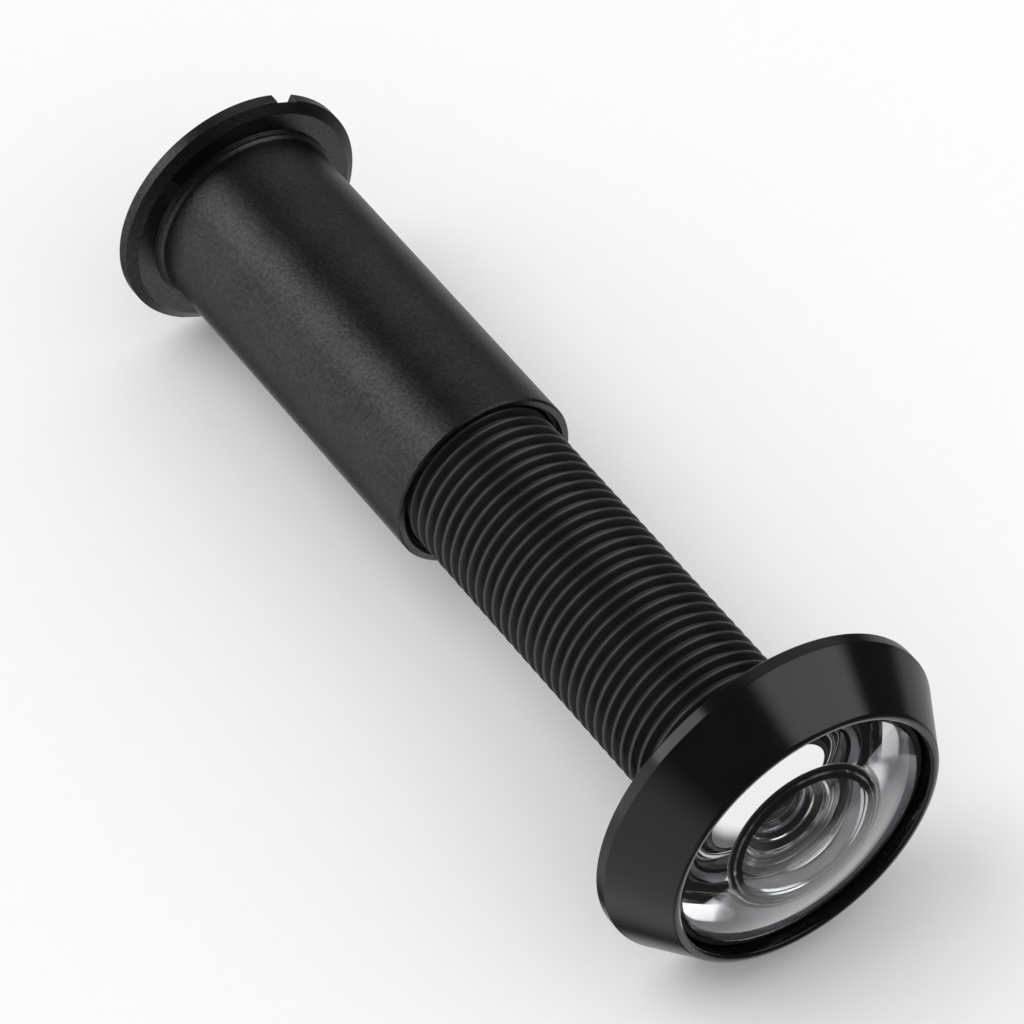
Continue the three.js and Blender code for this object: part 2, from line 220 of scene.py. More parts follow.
def shade(obj, sharp):
    mesh = obj.data
    mesh.polygons.foreach_set("use_smooth", [True] * len(mesh.polygons))
    mesh.set_sharp_from_angle(angle=math.radians(sharp))
    mesh.update()


def make(name, strips, sharp=SHARP):
    """One closed mesh from strips that share their end rings."""
    bm = bmesh.new()
    for points, faces in strips:
        verts = [bm.verts.new(point) for point in points]
        for face in faces:
            bm.faces.new([verts[i] for i in face])
    bmesh.ops.remove_doubles(bm, verts=bm.verts, dist=2e-7)
    bmesh.ops.dissolve_degenerate(bm, edges=bm.edges, dist=1e-8)
    bmesh.ops.recalc_face_normals(bm, faces=bm.faces)
    if bm.calc_volume(signed=True) < 0:
        bmesh.ops.reverse_faces(bm, faces=bm.faces)
    obj = link_mesh(name, bm)
    shade(obj, sharp)
    return obj


def turned(name, points, facets=FACETS):
    return make(name, [turned_strip(points, facets, True)])


def prism(name, outline, half_z):
    """A bar along Z. Its outline is (x, y) in mm, with y as in the profiles."""
    bm = bmesh.new()
    low, high = [
        [bm.verts.new((x * MM, (y + FRAME_Y) * MM, z * MM)) for x, y in outline]
        for z in (-half_z, half_z)
    ]
    count = len(outline)
    for i in range(count):
        k = (i + 1) % count
        bm.faces.new((low[i], low[k], high[k], high[i]))
    bm.faces.new(low[::-1])
    bm.faces.new(high)
    bmesh.ops.recalc_face_normals(bm, faces=bm.faces)
    return link_mesh(name, bm)


def cut(obj, tool):
    """Cuts the tool out of the object, bakes the result and removes the tool."""
    cutter = obj.modifiers.new("cut", "BOOLEAN")
    cutter.operation = "DIFFERENCE"
    cutter.solver = "EXACT"
    cutter.object = tool
    bpy.context.view_layer.update()
    graph = bpy.context.evaluated_depsgraph_get()
    mesh = bpy.data.meshes.new_from_object(obj.evaluated_get(graph))
    obj.modifiers.clear()
    old = obj.data
    obj.data = mesh
    mesh.name = obj.name
    bpy.data.meshes.remove(old)
    bpy.data.objects.remove(tool)
    shade(obj, CUT_SHARP)


# ------------------------------------------------------------------ threads
TAN30 = math.tan(math.radians(30))
MALE_CREST, MALE_ROOT = 5.98, 5.42
MALE_HALF_FLAT = 0.0885  # half the width of the crest's flat
FEMALE_CREST, FEMALE_ROOT = 5.6, 6.16
# the female groove follows the male flanks, widened by 0.1 on each side
FEMALE_HALF_FLAT = MALE_HALF_FLAT + (MALE_CREST - FEMALE_ROOT) * TAN30 + 0.1


def soft_min(first, second, width):
    overlap = max(width - abs(first - second), 0.0) / width
    return min(first, second) - overlap * overlap * width / 4.0


def soft_max(first, second, width):
    return -soft_min(-first, -second, width)


def smooth(value, start, end):
    share = min(1.0, max(0.0, (value - start) / (end - start)))
    return share * share * (3.0 - 2.0 * share)


def thread_radius(offset, outer, inner, half_flat, softness):
    """Radius of a 60 degree thread at an offset along Y from the middle of its outer flat."""
    flank = outer - (offset - half_flat) / TAN30
    return soft_max(soft_min(outer, flank, softness), inner, softness)


# ------------------------------------------------------------------ objective barrel
HUB_Y, HUB_R = 0.45, 6.01          # where the thread meets the bezel
HUB_BLEND = 0.22                   # length over which it fades in
TUBE_END, TUBE_END_R = 35.2, 5.33
CHAMFER_R, CHAMFER_LENGTH = 7.2, 0.93  # the end cone widens to this radius over this length


def male_radius(offset, y):
    if y >= TUBE_END:
        return TUBE_END_R
    radius = thread_radius(offset, MALE_CREST, MALE_ROOT, MALE_HALF_FLAT, softness=0.10)
    radius += (HUB_R - radius) * (1.0 - smooth(y, HUB_Y, HUB_Y + HUB_BLEND))
    cone = TUBE_END_R + (TUBE_END - y) * (CHAMFER_R - TUBE_END_R) / CHAMFER_LENGTH
    return min(radius, cone)


# From the hub over the bezel, through the stepped recess and the bore, to the tube's end
BARREL_PROFILE = [
    (HUB_R, HUB_Y, 0), (6.06, 0.0, 0.05), (12.85, 0.0, 0.05), (13.0, BEZEL_RIM_Y, 0.05),
    (13.0, -0.99, 0.10), (12.9, -1.13, 0.14), (10.57, -5.1, 0.16), (10.46, -5.21, 0.10),
    (10.26, -5.25, 0.14), (10.06, -5.22, 0.10), (9.92, -5.1, 0.10), (9.92, -1.95, 0.04),
    (6.6, -1.95, 0.05), (6.6, -1.0, 0.04), (4.6, -1.0, 0.05), (4.6, 34.9, 0.05),
    (4.9, TUBE_END, 0.04), (TUBE_END_R, TUBE_END, 0),
]
barrel = make(
    "objective_barrel_body",
    [
        turned_strip(BARREL_PROFILE, FINE_FACETS, False),
        thread_strip(male_radius, HUB_Y, TUBE_END),
    ],
    sharp=BARREL_SHARP,
)

# ------------------------------------------------------------------ objective's inner pieces
DOME_SPHERE = 20.0                 # radius of the front lens's outer surface
DOME_RIM_R, DOME_RIM_Y = 9.3, -4.43
DOME_APEX = DOME_RIM_Y - (DOME_SPHERE - math.sqrt(DOME_SPHERE ** 2 - DOME_RIM_R ** 2))
SEAT_BACK = -1.98                  # +Y face of the seat ring and the gasket
BORE_FIT_R = 4.54                  # outer radius of the pieces that fill the bore

front_lens = turned(
    "front_lens_glass",
    arc(DOME_RIM_R, DOME_RIM_Y, DOME_APEX, 44)
    + [(DOME_RIM_R, -3.22, 0.03), (9.18, -3.1, 0.03), (5.3, -3.1, 0.05)]
    + arc(4.9, -3.35, -5.2, 40)[::-1],
    FINE_FACETS,
)
gasket = turned(
    "front_lens_gasket_rubber",
    [(9.35, -4.1, 0.06), (9.5, -4.28, 0.07), (9.76, -4.28, 0.05), (9.86, -4.16, 0.05),
     (9.86, SEAT_BACK), (9.35, SEAT_BACK)],
    FINE_FACETS,
)
seat_ring = turned(
    "lens_seat_ring_silver",
    [(5.42, -2.96, 0.03), (5.52, -3.06, 0.03), (9.25, -3.06, 0.05), (9.25, SEAT_BACK),
     (5.42, SEAT_BACK)],
    FINE_FACETS,
)
cell = turned(
    "second_lens_cell_silver",
    [(4.88, -2.98, 0.06), (5.26, -2.98, 0.07), (5.34, -2.9, 0.05), (5.34, -1.91),
     (6.54, -1.91), (6.54, -1.03), (BORE_FIT_R, -1.03), (BORE_FIT_R, 2.2), (3.56, 2.2),
     (3.56, 0.2), (2.66, -0.16, 0.06), (2.62, -0.46, 0.06), (2.72, -0.56, 0.06),
     (3.45, -1.1, 0.08), (3.55, -1.42, 0.07), (3.72, -1.5, 0.07), (4.38, -2.1, 0.10),
     (4.46, -2.45, 0.10)],
    FINE_FACETS,
)
second_lens = turned(
    "second_lens_glass",
    arc(3.5, 0.25, -0.459, 24) + [(3.5, 1.35, 0.03), (2.6, 1.35, 0.03)]
    + arc(2.5, 1.33, 0.254, 24)[::-1],
)
spacer = turned(
    "lens_spacer_tube",
    [(2.75, 1.4), (3.5, 1.4), (3.5, 2.26), (BORE_FIT_R, 2.26), (BORE_FIT_R, 6.0), (3.9, 6.0),
     (3.6, 5.2, 0.1), (3.3, 2.7, 0.1), (2.85, 2.1, 0.1)],
)
third_lens = turned(
    "third_lens_glass",
    arc(3.9, 6.05, 6.7, 24) + [(4.5, 6.05, 0.03), (4.5, 8.5, 0.03)]
    + arc(3.9, 8.5, 7.45, 24)[::-1],
)
stop = turned(
    "aperture_stop_disc",
    [(3.0, 8.7), (3.15, 8.56), (4.52, 8.56), (4.52, 8.96), (3.15, 8.96), (3.0, 8.82)],
)
inner_ring = turned(
    "objective_retaining_ring_body",
    [(3.6, 9.02), (BORE_FIT_R, 9.02), (BORE_FIT_R, 11.0, 0.06), (3.9, 11.0, 0.06),
     (3.6, 10.6, 0.06)],
)
# a slot across the ring's +Y face, flared at its mouth
RING_SLOT = [(-0.6, 10.2), (0.6, 10.2), (0.6, 10.92), (0.7, 11.1), (-0.7, 11.1), (-0.6, 10.92)]
cut(inner_ring, prism("ring_slot", RING_SLOT, half_z=6.0))

# ------------------------------------------------------------------ eyepiece sleeve
MOUTH_R, MOUTH_Y = 6.32, 32.65     # the thread's -Y end
RELIEF_R, RELIEF_Y = 6.2, 38.6     # the thread's +Y end
TAPER = 0.4                        # length of the cone at each end of the thread


def female_radius(offset, y):
    if y <= MOUTH_Y:
        return MOUTH_R
    if y >= RELIEF_Y:
        return RELIEF_R
    radius = thread_radius(offset, FEMALE_ROOT, FEMALE_CREST, FEMALE_HALF_FLAT, softness=0.06)
    if y < MOUTH_Y + TAPER:
        radius = max(radius, MOUTH_R - (y - MOUTH_Y) * (MOUTH_R - FEMALE_CREST) / TAPER)
    relief_start = RELIEF_Y - TAPER
    if y > relief_start:
        radius = max(radius, FEMALE_CREST + (y - relief_start) * (RELIEF_R - FEMALE_CREST) / TAPER)
    return radius


# From the thread's +Y end through the bore, over the flange and back to the mouth
SLEEVE_PROFILE = [
    (RELIEF_R, RELIEF_Y, 0), (6.2, 60.3, 0.03), (5.8, 60.4, 0.03), (5.8, 62.8, 0.03),
    (4.9, 62.8, 0.04), (4.9, 63.85, 0.05), (5.45, FLANGE_REAR, 0.06),
    (9.35, FLANGE_REAR, 0.07), (9.5, 64.25, 0.07), (9.5, FLANGE_RIM_Y, 0.06),
    (8.75, 62.95, 0.07), (7.35, 62.95, 0.03), (7.31, 62.69, 0.04), (7.12, 62.59, 0.06),
    (7.0, 62.35, 0.12), (7.0, 32.34, 0.06), (6.86, 32.2, 0.05), (6.47, 32.2, 0.05),
    (MOUTH_R, 32.35, 0.05), (MOUTH_R, MOUTH_Y, 0),
]
sleeve = make(
    "eyepiece_sleeve_body",
    [
        turned_strip(SLEEVE_PROFILE, FINE_FACETS, False),
        thread_strip(female_radius, MOUTH_Y, RELIEF_Y),
    ],
)
COIN_SLOT = [(-0.9, 63.4), (0.9, 63.4), (0.9, 64.28), (1.04, 64.42), (1.04, 66.0),
             (-1.04, 66.0), (-1.04, 64.42), (-0.9, 64.28)]
COIN_SLOT_TURN = math.radians(26.8)
slot_bar = prism("coin_slot", COIN_SLOT, half_z=12.0)
slot_bar.data.transform(Matrix.Rotation(COIN_SLOT_TURN, 4, "Y"))
cut(sleeve, slot_bar)

eye_ring = turned(
    "eyepiece_retaining_ring_body",
    [(4.95, 60.6), (5.1, 60.45), (5.74, 60.45), (5.74, 61.24), (5.2, 61.24), (4.95, 61.05)],
)
eye_lens = turned(
    "eyepiece_lens_glass",
    arc(5.3, 61.3, 61.02, 24) + [(5.7, 61.3, 0.03), (5.7, 62.4, 0.03)]
    + arc(5.0, 62.4, 62.78, 24)[::-1],
)
eye_cushion = turned(
    "eyepiece_cushion_ring_rubber",
    [(5.08, 62.45), (5.72, 62.45), (5.72, 62.76), (5.08, 62.76)],
)


# ------------------------------------------------------------------ node helpers
class Nodes:
    """Builds a node tree. Values may be sockets, numbers or RGB triples."""

    def __init__(self, tree):
        self.tree = tree
        tree.nodes.clear()

    def add(self, kind, inputs=None, **props):
        node = self.tree.nodes.new(kind)
        for key, value in props.items():
            setattr(node, key, value)
        for key, value in (inputs or {}).items():
            self.put(node.inputs[key], value)
        return node

    def put(self, socket, value):
        if isinstance(value, bpy.types.NodeSocket):
            self.tree.links.new(value, socket)
        elif isinstance(value, (tuple, list)) and len(value) == 3 and socket.type == "RGBA":
            socket.default_value = (*value, 1.0)
        else:
            socket.default_value = value

    def math(self, operation, first, second=0.0, clamp=False):
        return self.add("ShaderNodeMath", {0: first, 1: second},
                        operation=operation, use_clamp=clamp).outputs[0]

    def plus(self, first, second):
        return self.math("ADD", first, second)

    def times(self, first, second):
        return self.math("MULTIPLY", first, second)

    def weigh(self, base, *layers):
        """Adds each (value, weight) pair to the base."""
        for value, weight in layers:
            base = self.plus(base, self.times(value, weight))
        return base

    def ramp(self, value, span, out=(0.0, 1.0), kind="SMOOTHSTEP"):
        """Maps the span of the value onto the span out."""
        return self.add("ShaderNodeMapRange", {
            "Value": value, "From Min": span[0], "From Max": span[1],
            "To Min": out[0], "To Max": out[1]}, interpolation_type=kind).outputs["Result"]

    def band(self, value, rise, fall):
        return self.times(self.ramp(value, rise), self.ramp(value, fall))

    def mix(self, factor, low, high):
        return self.add("ShaderNodeMix", {"Factor": factor, 6: low, 7: high},
                        data_type="RGBA").outputs[2]

    def noise(self, point, scale, detail=3.0, rough=0.5):
        return self.add("ShaderNodeTexNoise", {
            "Vector": point, "Scale": scale, "Detail": detail, "Roughness": rough},
            noise_dimensions="3D").outputs["Fac"]

    def lines(self, along, scale, detail=4.0, rough=0.6):
        """Noise in one dimension, for the fine lines left by turning."""
        return self.add("ShaderNodeTexNoise", {
            "W": along, "Scale": scale, "Detail": detail, "Roughness": rough},
            noise_dimensions="1D").outputs["Fac"]

    def bump(self, height, distance, strength, normal=None):
        inputs = {"Distance": distance, "Strength": strength, "Height": height}
        if normal is not None:
            inputs["Normal"] = normal
        return self.add("ShaderNodeBump", inputs).outputs["Normal"]

    def point_mm(self):
        """Object coordinates in mm."""
        coords = self.add("ShaderNodeTexCoord").outputs["Object"]
        return self.add("ShaderNodeVectorMath", {0: coords, "Scale": MM_PER_M},
                        operation="SCALE").outputs[0]

    def radius(self, axes):
        x, _, z = axes
        return self.math("SQRT", self.plus(self.times(x, x), self.times(z, z)))

    def split(self, point):
        return self.add("ShaderNodeSeparateXYZ", {"Vector": point}).outputs

    def radius_and_y(self, point):
        """Radius from the optical axis, and y from the bezel's back face."""
        axes = self.split(point)
        return self.radius(axes), self.math("SUBTRACT", axes[1], FRAME_Y)

    def edge_wear(self):
        geometry = self.add("ShaderNodeNewGeometry")
        return self.ramp(geometry.outputs["Pointiness"], span=(0.52, 0.60))

    def principled(self, inputs):
        return self.add("ShaderNodeBsdfPrincipled", inputs).outputs[0]

    def output(self, shader):
        self.add("ShaderNodeOutputMaterial", {"Surface": shader})


def new_material(name, tint):
    material = bpy.data.materials.new(name)
    material.use_nodes = True
    material.diffuse_color = (*tint, 1.0)
    return material, Nodes(material.node_tree)


# ------------------------------------------------------------------ materials
MIDDLE = (0.3, 0.7)  # the part of a noise's range that most ramps stretch


def gloss_black():
    """Gloss black plating on turned brass, with oil-dark thread roots, and crests lightened both as
    rubbed wear and as a painted highlight.
    """
    material, nodes = new_material("bezel_black_gloss", (0.01, 0.01, 0.012))
    point = nodes.point_mm()
    radius, y = nodes.radius_and_y(point)
    lines = nodes.lines(nodes.weigh(nodes.times(y, 1.0), (radius, 0.83)), scale=9.0)
    cloud = nodes.noise(point, scale=0.35, detail=4.0, rough=0.55)
    fine = nodes.noise(point, scale=9.0)
    specks = nodes.ramp(nodes.noise(point, scale=3.2, detail=2.0), span=(0.70, 0.78))
    thread = nodes.ramp(y, span=(0.35, 0.6))
    crest = nodes.times(thread, nodes.ramp(radius, span=(5.82, 5.98)))
    root = nodes.times(thread, nodes.ramp(radius, span=(5.66, 5.44)))
    edge = nodes.edge_wear()
    rough = nodes.weigh(0.075, (cloud, 0.06), (lines, 0.03), (specks, 0.08), (thread, 0.07),
                        (root, 0.10))
    colour = nodes.mix(cloud, low=(0.0018, 0.0018, 0.0021), high=(0.0040, 0.0040, 0.0044))
    colour = nodes.mix(thread, colour, high=(0.011, 0.011, 0.0115))
    colour = nodes.mix(nodes.times(edge, 0.30), colour, high=(0.02, 0.02, 0.022))
    # painted highlight along the thread crests, as well as rubbed wear
    colour = nodes.mix(nodes.times(crest, 0.6), colour, high=(0.045, 0.045, 0.047))
    normal = nodes.bump(lines, distance=0.0000025, strength=0.5)
    normal = nodes.bump(fine, distance=0.0000015, strength=0.5, normal=normal)
    nodes.output(nodes.principled({
        "Base Color": colour, "Metallic": 0.0, "Roughness": rough, "IOR": 1.52,
        "Specular IOR Level": nodes.ramp(root, span=(0.0, 1.0), out=(0.5, 0.36), kind="LINEAR"),
        "Normal": normal}))
    return material


def satin_black():
    """Satin black paint with a fine grain, a little rubbed along the edges."""
    material, nodes = new_material("sleeve_black_satin", (0.015, 0.015, 0.016))
    point = nodes.point_mm()
    radius, y = nodes.radius_and_y(point)
    grain = nodes.noise(point, scale=4.4, detail=5.0, rough=0.75)
    fine = nodes.noise(point, scale=22.0, rough=0.6)
    cloud = nodes.noise(point, scale=0.30, detail=4.0, rough=0.55)
    lines = nodes.lines(nodes.weigh(y, (radius, 0.83)), scale=7.0)
    edge = nodes.edge_wear()
    specks = nodes.ramp(nodes.noise(point, scale=2.6, detail=2.0), span=(0.70, 0.76))
    rough = nodes.weigh(0.13, (cloud, 0.07), (grain, 0.10), (specks, 0.08))
    colour = nodes.mix(grain, low=(0.0016, 0.0016, 0.0018), high=(0.0042, 0.0042, 0.0046))
    colour = nodes.mix(nodes.times(edge, 0.3), colour, high=(0.022, 0.022, 0.024))
    normal = nodes.bump(grain, distance=0.000030, strength=0.85)
    normal = nodes.bump(fine, distance=0.000006, strength=0.6, normal=normal)
    normal = nodes.bump(lines, distance=0.000003, strength=0.4, normal=normal)
    specular = nodes.plus(nodes.ramp(cloud, MIDDLE, out=(0.20, 0.32)),
                          nodes.ramp(grain, span=(0.38, 0.62), out=(0.14, 0.46)))
    nodes.output(nodes.principled({
        "Base Color": colour, "Metallic": 0.0, "Roughness": rough, "IOR": 1.52,
        "Specular IOR Level": specular, "Normal": normal}))
    return material


def clear_shader(nodes, point, tint, film=None):
    """Polished glass with a trace of haze and dust; film is a coating's thickness in nm."""
    haze = nodes.noise(point, scale=0.9, rough=0.55)
    dust = nodes.ramp(nodes.noise(point, scale=6.0, detail=2.0), span=(0.80, 0.86))
    rough = nodes.weigh(nodes.ramp(haze, span=(0.35, 0.75), out=(0.0, 0.008)), (dust, 0.03))
    wave = nodes.noise(point, scale=0.22, detail=2.0, rough=0.4)
    inputs = {
        "Base Color": nodes.mix(haze, low=tint, high=tuple(c * 0.985 for c in tint)),
        "Roughness": rough, "IOR": 1.52, "Transmission Weight": 1.0,
        "Normal": nodes.bump(wave, distance=0.000004, strength=0.3)}
    if film:
        inputs["Thin Film Thickness"] = nodes.ramp(haze, MIDDLE, out=(film * 0.96, film * 1.04))
        inputs["Thin Film IOR"] = 1.38
    return nodes.principled(inputs), haze


def front_glass():
    """Clear glass, with opaque black painted into it at the end of the well's wall and on the bevel
    round its mouth: a painted dark reflection.
    """
    tint = (1.0, 1.0, 1.0)
    material, nodes = new_material("front_glass_clear", tint)
    point = nodes.point_mm()
    radius, y = nodes.radius_and_y(point)
    clear, haze = clear_shader(nodes, point, tint)
    # painted dark reflection: an opaque black shader used in two rings of the glass
    painted_dark_reflection = nodes.principled({
        "Base Color": nodes.mix(haze, low=(0.003, 0.003, 0.003), high=(0.008, 0.008, 0.009)),
        "Roughness": 0.6, "Specular IOR Level": 0.1})
    # the two rings where the dark reflection is painted, on the well's side of the lens
    wall = nodes.band(radius, rise=(4.55, 4.58), fall=(4.86, 4.84))
    bevel = nodes.band(radius, rise=(4.97, 4.99), fall=(5.20, 5.18))
    inside = nodes.ramp(y, span=(-3.95, -3.93))
    dark_reflection_mask = nodes.times(nodes.math("MAXIMUM", wall, bevel), inside)
    both = nodes.add("ShaderNodeMixShader", {0: dark_reflection_mask, 1: clear, 2: painted_dark_reflection})
    nodes.output(both.outputs[0])
    return material


def inner_glass():
    """Coated glass of the small lenses."""
    tint = (0.97, 0.95, 1.0)
    material, nodes = new_material("inner_glass_coated", tint)
    nodes.output(clear_shader(nodes, nodes.point_mm(), tint, film=118.0)[0])
    return material


def seat_metal():
    """Mirror-bright plated ring, faintly clouded, with a painted shadow along the edge of its hole.
    """
    material, nodes = new_material("seat_silver_turned", (0.78, 0.80, 0.85))
    point = nodes.point_mm()
    radius = nodes.radius(nodes.split(point))
    lines = nodes.lines(radius, scale=5.0, rough=0.65)
    cloud = nodes.noise(point, scale=0.5, detail=4.0, rough=0.6)
    # painted shadow: the ring turns black and non-metallic along the edge of its hole
    edge = nodes.ramp(radius, span=(5.66, 5.56))
    colour = nodes.mix(nodes.ramp(cloud, MIDDLE), low=(0.78, 0.80, 0.85), high=(0.66, 0.68, 0.73))
    colour = nodes.mix(nodes.ramp(radius, span=(8.6, 9.2)), colour, high=(0.62, 0.635, 0.67))
    # the painted shadow's colour along the hole's edge
    colour = nodes.mix(edge, colour, high=(0.006, 0.006, 0.007))
    wear = nodes.weigh(nodes.times(lines, 0.5), (cloud, 0.5))
    nodes.output(nodes.principled({
        "Base Color": colour, "Metallic": nodes.math("SUBTRACT", 1.0, edge),
        "Roughness": nodes.ramp(wear, MIDDLE, out=(0.04, 0.10)),
        "Normal": nodes.bump(lines, distance=0.0000009, strength=0.5)}))
    return material


def cell_metal():
    """Turned aluminium: black mouth with two bright edges, streaky cone, black throat, bright lip."""
    material, nodes = new_material("cell_silver_turned", (0.62, 0.62, 0.65))
    point = nodes.point_mm()
    radius, y = nodes.radius_and_y(point)
    lines = nodes.lines(nodes.plus(nodes.times(y, 1.7), radius), scale=7.0, detail=5.0, rough=0.7)
    cloud = nodes.noise(point, scale=0.7, detail=4.0, rough=0.6)

    def ring(inner, outer, soft=0.012):
        return nodes.band(radius, (inner - soft, inner + soft), (outer + soft, outer - soft))

    def without(mask, removed):
        return nodes.math("SUBTRACT", mask, removed, clamp=True)

    mouth = without(nodes.ramp(radius, span=(4.36, 4.42)), ring(inner=4.865, outer=4.935))
    mouth = without(mouth, nodes.ramp(radius, span=(5.255, 5.275)))
    throat = ring(inner=2.80, outer=3.42, soft=0.03)
    black = nodes.math("MAXIMUM", mouth, throat)
    colour = nodes.mix(nodes.ramp(cloud, MIDDLE), low=(0.88, 0.88, 0.91), high=(0.72, 0.72, 0.75))
    colour = nodes.mix(nodes.ramp(lines, span=(0.42, 0.64)), colour, high=(0.30, 0.30, 0.32))
    # painted highlight: a thin brighter ring where the streaky cone meets the black throat
    colour = nodes.mix(ring(inner=3.44, outer=3.60), colour, high=(0.90, 0.90, 0.92))
    colour = nodes.mix(nodes.ramp(radius, span=(2.80, 2.74)), colour, high=(0.85, 0.85, 0.88))
    colour = nodes.mix(black, colour, high=(0.005, 0.005, 0.006))
    wear = nodes.weigh(nodes.times(lines, 0.6), (cloud, 0.4))
    nodes.output(nodes.principled({
        "Base Color": colour, "Metallic": nodes.math("SUBTRACT", 1.0, black),
        "Roughness": nodes.ramp(wear, MIDDLE, out=(0.07, 0.20)),
        "Normal": nodes.bump(lines, distance=0.0000035, strength=0.7)}))
    return material


def soft_rubber():
    material, nodes = new_material("soft_black_rubber", (0.01, 0.01, 0.01))
    point = nodes.point_mm()
    grain = nodes.noise(point, scale=5.0, detail=4.0, rough=0.6)
    cloud = nodes.noise(point, scale=0.8)
    nodes.output(nodes.principled({
        "Base Color": nodes.mix(grain, low=(0.004, 0.004, 0.004), high=(0.012, 0.012, 0.012)),
        "Roughness": nodes.ramp(cloud, MIDDLE, out=(0.62, 0.85)),
        "Normal": nodes.bump(grain, distance=0.00002, strength=0.6)}))
    return material


def inside_black():
    material, nodes = new_material("inside_black_anodised", (0.012, 0.012, 0.013))
    point = nodes.point_mm()
    radius, y = nodes.radius_and_y(point)
    lines = nodes.lines(nodes.plus(nodes.times(y, 1.3), radius), scale=7.0)
    cloud = nodes.noise(point, scale=0.7)
    nodes.output(nodes.principled({
        "Base Color": nodes.mix(lines, low=(0.005, 0.005, 0.006), high=(0.015, 0.015, 0.016)),
        "Metallic": 0.3, "Roughness": nodes.ramp(cloud, MIDDLE, out=(0.42, 0.62)),
        "Normal": nodes.bump(lines, distance=0.000008, strength=0.6)}))
    return material


MATERIALS = {
    "bezel_black": gloss_black(),
    "sleeve_black": satin_black(),
    "front_glass": front_glass(),
    "inner_glass": inner_glass(),
    "seat_silver": seat_metal(),
    "cell_silver": cell_metal(),
    "soft_black": soft_rubber(),
    "inside_black": inside_black(),
}

# object, CAD node it replaces, material slot
PIECES = [
    (barrel, "objective_barrel", "bezel_black"),
    (front_lens, "front_lens", "front_glass"),
    (gasket, "front_lens_gasket", "soft_black"),
    (seat_ring, "lens_seat_ring", "seat_silver"),
    (cell, "second_lens_cell", "cell_silver"),
    (second_lens, "second_lens", "inner_glass"),
    (spacer, "lens_spacer", "inside_black"),
    (third_lens, "third_lens", "inner_glass"),
    (stop, "aperture_stop", "inside_black"),
    (inner_ring, "objective_retaining_ring", "inside_black"),
    (sleeve, "eyepiece_sleeve", "sleeve_black"),
    (eye_ring, "eyepiece_retaining_ring", "inside_black"),
    (eye_lens, "eyepiece_lens", "inner_glass"),
    (eye_cushion, "eyepiece_cushion_ring", "soft_black"),
]
bodies = frame["record"]["behaviour"]["bodies"]
body_of_node = {node: body for body, members in bodies.items() for node in members}
for obj, node, slot in PIECES:
    obj.data.materials.clear()
    obj.data.materials.append(MATERIALS[slot])
    # the hidden CAD node carries the same finish
    cad_materials = frame["nodes"][node].data.materials
    if cad_materials:
        for i in range(len(cad_materials)):
            cad_materials[i] = MATERIALS[slot]
    else:
        cad_materials.append(MATERIALS[slot])
    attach(obj, body_of_node[node])
    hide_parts(node)

# ------------------------------------------------------------------ floor
# The two rims differ in radius, so the floor leans to pass just under both. Metres.
FLOOR_GAP = 0.00008
FLOOR_HALF = 3.0


def make_floor():
    rim_y, rim_z = (FRAME_Y + BEZEL_RIM_Y) * MM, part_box("objective_barrel")[0].z
    flange_y, flange_z = (FRAME_Y + FLANGE_RIM_Y) * MM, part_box("eyepiece_sleeve")[0].z
    slope = (flange_z - rim_z) / (flange_y - rim_y)
    corners = [
        (x * FLOOR_HALF, y * FLOOR_HALF, rim_z - FLOOR_GAP + slope * (y * FLOOR_HALF - rim_y))
        for x, y in ((-1, -1), (1, -1), (1, 1), (-1, 1))
    ]
    mesh = bpy.data.meshes.new("floor")
    mesh.from_pydata(corners, [], [(0, 1, 2, 3)])
    floor = bpy.data.objects.new("floor", mesh)
    bpy.context.scene.collection.objects.link(floor)
    material, nodes = new_material("floor_pale", (0.8, 0.8, 0.8))
    paper = nodes.noise(nodes.add("ShaderNodeTexCoord").outputs["Object"], scale=900.0)
    colour = nodes.mix(paper, low=(0.865, 0.865, 0.865), high=(0.88, 0.88, 0.88))
    diffuse = nodes.add("ShaderNodeBsdfDiffuse", {"Color": colour, "Roughness": 0.4})
    nodes.output(diffuse.outputs[0])
    mesh.materials.append(material)
    floor.visible_glossy = False
    floor.visible_transmission = False
    floor.visible_shadow = False
    return floor


make_floor()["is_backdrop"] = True

# ------------------------------------------------------------------ studio
AMBIENT = 0.07       # brightness between the soft boxes
DIFFUSE_LIGHT = 0.90  # even brightness seen by diffuse rays
BACKDROP = 1.0       # brightness seen by the camera
# Soft boxes: direction, inner and outer angle in degrees, brightness
SOFT_BOXES = [
    ((-0.55, 0.56, 0.62), 14.0, 18.5, 1.80),
    ((-0.93, -0.02, -0.36), 32.0, 64.0, 0.60),
    ((0.60, -0.36, 0.72), 20.0, 33.0, 1.32),
    ((0.55, 0.58, 0.60), 18.0, 36.0, 0.34),
    ((0.62, 0.30, -0.72), 30.0, 46.0, 0.34),
    ((0.32, -0.33, -0.89), 20.0, 26.5, 0.80),
    ((0.18, -0.70, -0.69), 20.0, 42.0, 0.07),
    ((-0.78, 0.60, 0.20), 14.0, 31.0, 0.46),
]


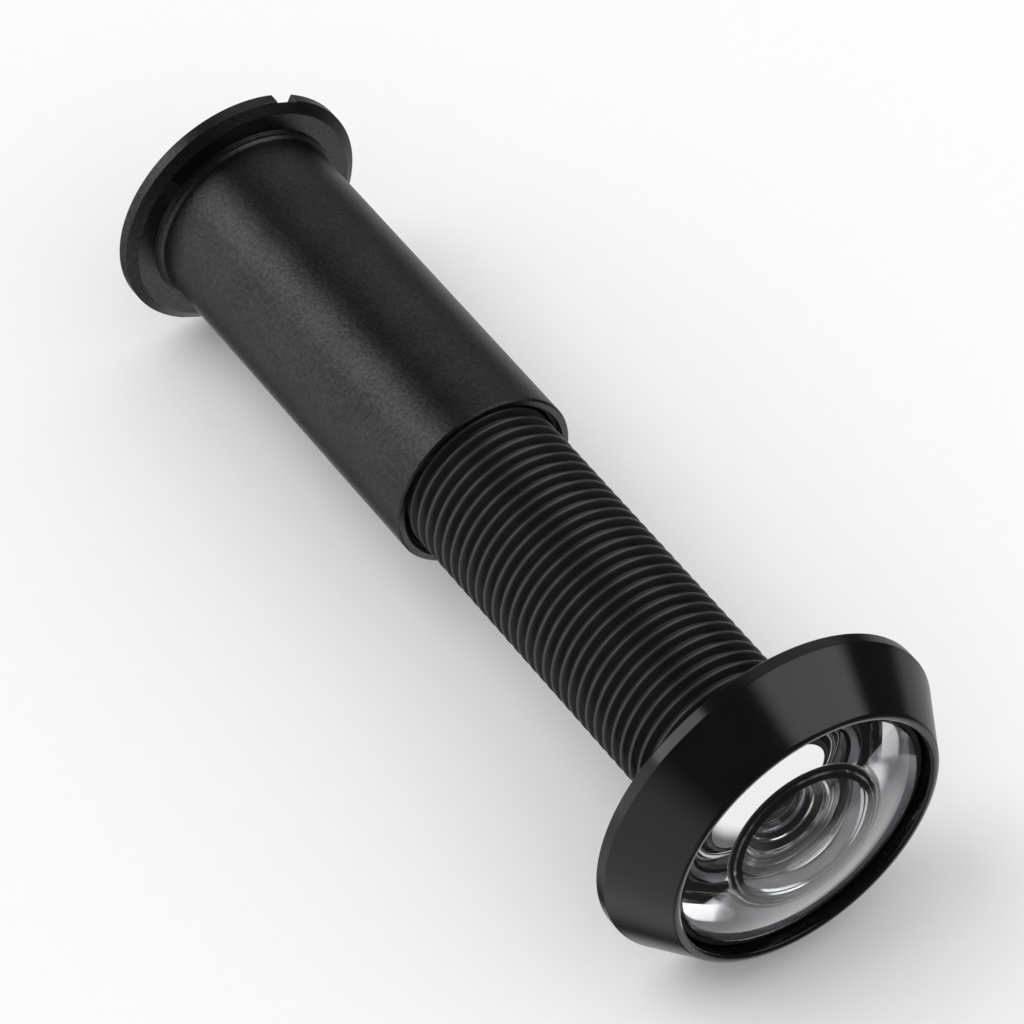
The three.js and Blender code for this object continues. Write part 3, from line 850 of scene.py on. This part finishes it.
def make_world():
    world = bpy.data.worlds.new("studio")
    bpy.context.scene.world = world
    world.use_nodes = True
    nodes = Nodes(world.node_tree)
    direction = nodes.add("ShaderNodeTexCoord").outputs["Generated"]
    total = None
    for centre, inner, outer, brightness in SOFT_BOXES:
        facing = nodes.add("ShaderNodeVectorMath", {0: direction, 1: Vector(centre).normalized()},
                           operation="DOT_PRODUCT").outputs["Value"]
        span = math.cos(math.radians(outer)), math.cos(math.radians(inner))
        patch = nodes.ramp(facing, span, out=(0.0, brightness))
        total = patch if total is None else nodes.plus(total, patch)
    strength = nodes.plus(total, AMBIENT)
    rays = nodes.add("ShaderNodeLightPath").outputs
    for ray, level in (("Is Diffuse Ray", DIFFUSE_LIGHT), ("Is Camera Ray", BACKDROP)):
        strength = nodes.add("ShaderNodeMix", {0: rays[ray], 2: strength, 3: level},
                             data_type="FLOAT").outputs[0]
    background = nodes.add("ShaderNodeBackground",
                           {"Color": (1.0, 1.0, 1.0), "Strength": strength})
    nodes.add("ShaderNodeOutputWorld", {"Surface": background.outputs[0]})


def make_sun():
    light = bpy.data.lights.new("soft_key", "SUN")
    light.energy = 0.9
    light.angle = math.radians(38)
    sun = bpy.data.objects.new("soft_key", light)
    bpy.context.scene.collection.objects.link(sun)
    shine = Vector((0.45, -0.25, -0.9))
    sun.rotation_mode = "QUATERNION"
    sun.rotation_quaternion = shine.to_track_quat("-Z", "Y")
    sun.location = (-0.2, 0.1, 0.5)
    sun.visible_glossy = False
    sun.visible_transmission = False


# The camera looks at the viewer's middle from the -X, -Y side and above.
AZIMUTH, ELEVATION = math.radians(-33.9), math.radians(48.2)
CAMERA_DISTANCE = 0.3767


def make_camera():
    low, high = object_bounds()
    back = Vector((math.sin(AZIMUTH) * math.cos(ELEVATION),
                   -math.cos(AZIMUTH) * math.cos(ELEVATION), math.sin(ELEVATION)))
    data = bpy.data.cameras.new("camera")
    data.sensor_width = 36.0
    data.lens = 196.0
    data.clip_start = 0.01
    data.clip_end = 20.0
    camera = bpy.data.objects.new("camera", data)
    bpy.context.scene.collection.objects.link(camera)
    camera.rotation_mode = "QUATERNION"
    camera.rotation_quaternion = (-back).to_track_quat("-Z", "Y")
    camera.location = (low + high) / 2 + back * CAMERA_DISTANCE
    bpy.context.scene.camera = camera


make_world()
make_sun()
make_camera()

# light goes round many times inside the big glass before it comes out
scene = bpy.context.scene
scene.cycles.max_bounces = 40
scene.cycles.glossy_bounces = 32
scene.cycles.transmission_bounces = 32
scene.view_settings.view_transform = "Standard"
scene.view_settings.look = "None"
